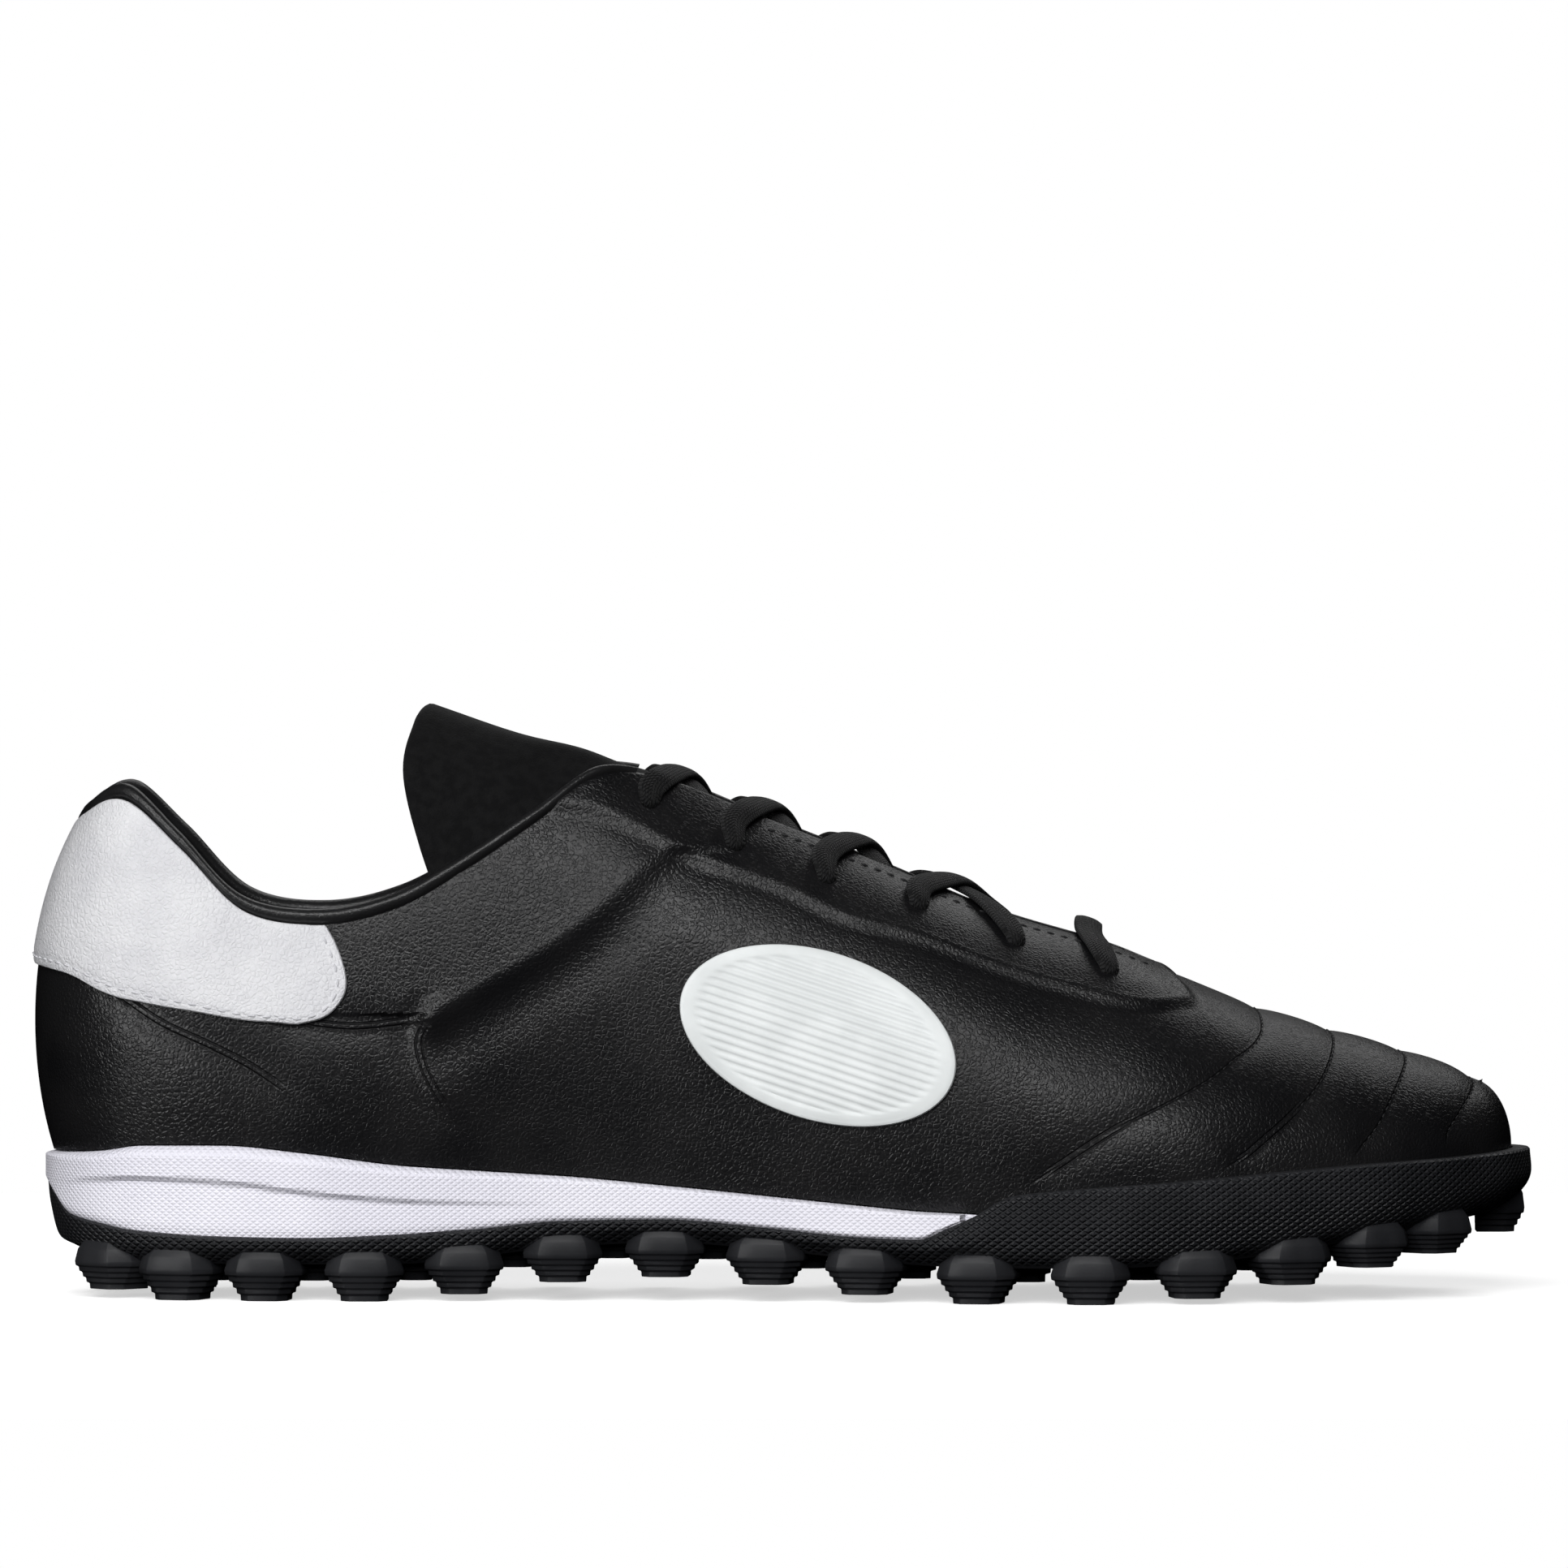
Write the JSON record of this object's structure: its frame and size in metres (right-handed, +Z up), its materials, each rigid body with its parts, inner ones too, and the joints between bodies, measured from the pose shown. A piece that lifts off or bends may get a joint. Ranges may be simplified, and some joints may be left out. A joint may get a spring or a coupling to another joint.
{
  "type": "turf shoe",
  "caption": "Low lace-up turf shoe for the right foot: leather upper, padded collar, foam heel wedge and studded rubber outsole.",
  "frame": {"origin": "centre of the bounding box at the level of the stud tips", "axes": "+X from heel to toe, +Y to the inner side of the foot, +Z up"},
  "size_m": [0.297, 0.1038, 0.1164],
  "materials": {
    "rubber_black": "matte moulded rubber with a fine knurled side",
    "foam_white": "matte moulded foam with a fine grain",
    "insole_grey": "matte fabric-faced foam",
    "leather_black": "satin synthetic leather with a fine grain",
    "leather_white": "grained synthetic leather",
    "motif_white": "satin moulded film with raised ribs",
    "piping_black": "smooth satin synthetic leather",
    "fabric_black": "matte fabric over foam",
    "lace_black": "flat woven polyester"
  },
  "bodies": {
    "root": {"outsole": "rubber_black", "midsole": "foam_white", "insole": "insole_grey", "upper": "leather_black", "heel_tab": "leather_white", "side_mark_lateral": "motif_white", "side_mark_medial": "motif_white", "collar_piping": "piping_black", "tongue": "fabric_black", "lace_crossing_1": "lace_black", "lace_crossing_2": "lace_black", "lace_crossing_3": "lace_black", "lace_crossing_4": "lace_black", "lace_bar": "lace_black"}
  },
  "joints": []
}
